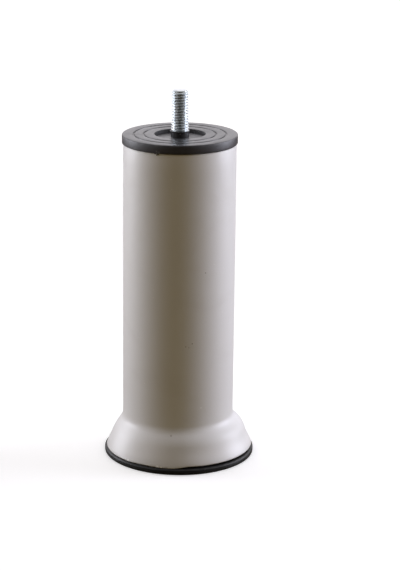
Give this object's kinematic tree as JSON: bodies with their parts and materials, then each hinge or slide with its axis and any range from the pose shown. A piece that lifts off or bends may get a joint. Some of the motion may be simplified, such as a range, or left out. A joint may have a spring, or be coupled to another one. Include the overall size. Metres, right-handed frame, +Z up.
{
  "type": "sofa leg",
  "caption": "Round white furniture leg: a steel tube with a belled foot end, a black moulded foot, and a black grooved cap that holds a threaded stud.",
  "frame": {"origin": "middle of the foot's sole, where the leg meets the floor", "axes": "+Z up the leg's axis, from the foot to the threaded stud; the leg is round, so X and Y are any two directions across it"},
  "size_m": [0.069, 0.069, 0.17],
  "materials": {
    "tube_coat": "satin off-white powder coat",
    "cap_plastic": "satin black moulding",
    "stud_zinc": "bright zinc plate on a rolled thread",
    "foot_plastic": "satin black moulding"
  },
  "bodies": {
    "root": {"leg_tube": "tube_coat", "top_cap": "cap_plastic", "stud_bolt": "stud_zinc", "foot_cap": "foot_plastic"}
  },
  "joints": []
}
